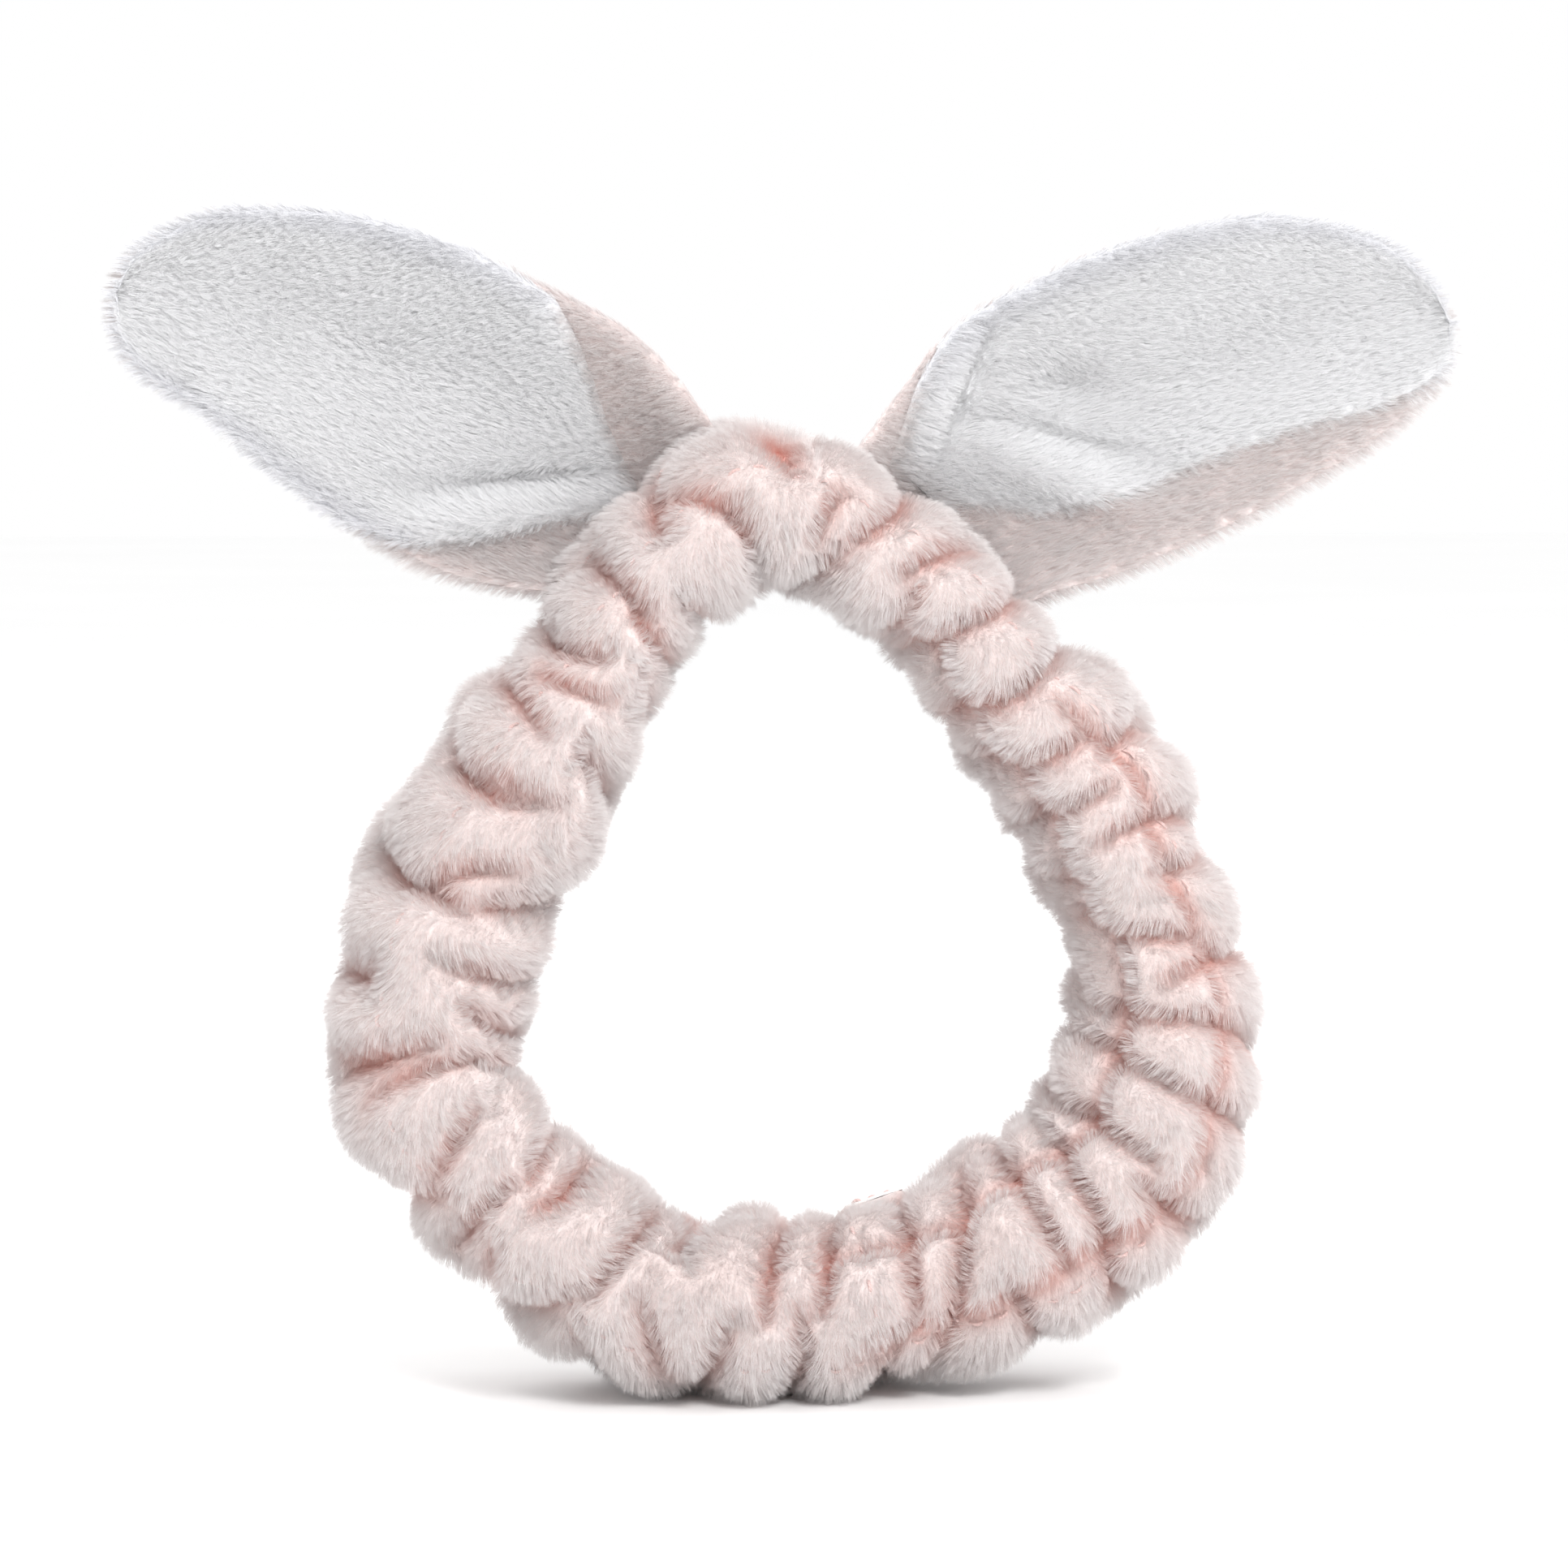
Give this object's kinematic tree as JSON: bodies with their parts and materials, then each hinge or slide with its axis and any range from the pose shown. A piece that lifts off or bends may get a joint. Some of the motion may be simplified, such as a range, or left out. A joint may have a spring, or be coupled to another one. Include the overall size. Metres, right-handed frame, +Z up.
{
  "type": "spa headband",
  "caption": "Gathered plush fleece headband on an elastic loop, with padded fleece ears that fold forward and back at their sewn bases.",
  "frame": {"origin": "centre of the head opening, half way between the cheek corners in the band's middle plane", "axes": "+Z up through the gap between the ears, -Y to the front of the ears, X across the band"},
  "size_m": [0.258, 0.0568, 0.2261],
  "materials": {
    "fleece_pink": "plush coral fleece, pale pink",
    "fleece_white": "plush coral fleece, white",
    "elastic": "woven elastic, off-white",
    "wadding": "polyester wadding",
    "thread": "polyester sewing thread, pink",
    "satin": "blank satin ribbon"
  },
  "bodies": {
    "band": {"band_sleeve": "fleece_pink", "care_label": "satin", "care_label_stitches": "thread", "elastic_lap_stitches": "thread", "elastic_loop": "elastic", "left_ear_tack_stitches": "thread", "right_ear_tack_stitches": "thread", "sleeve_end_seam_stitches": "thread", "sleeve_long_seam_stitches": "thread"},
    "left_ear": {"left_ear_back_panel": "fleece_pink", "left_ear_front_panel": "fleece_white", "left_ear_pleat_stitches": "thread", "left_ear_rim_stitches": "thread", "left_ear_wadding": "wadding"},
    "right_ear": {"right_ear_back_panel": "fleece_pink", "right_ear_front_panel": "fleece_white", "right_ear_pleat_stitches": "thread", "right_ear_rim_stitches": "thread", "right_ear_wadding": "wadding"}
  },
  "joints": [
    {"name": "left_ear_flop", "type": "hinge", "parent": "band", "child": "left_ear", "pos_m": [-0.03571, 0.01336, 0.07957], "axis": [0.714, 0, 0.7001], "range_deg": [-60, 35], "stiffness_Nm_per_rad": 0.02},
    {"name": "right_ear_flop", "type": "hinge", "parent": "band", "child": "right_ear", "pos_m": [0.03571, 0.01336, 0.07957], "axis": [0.714, 0, -0.7001], "range_deg": [-60, 35], "stiffness_Nm_per_rad": 0.02}
  ]
}
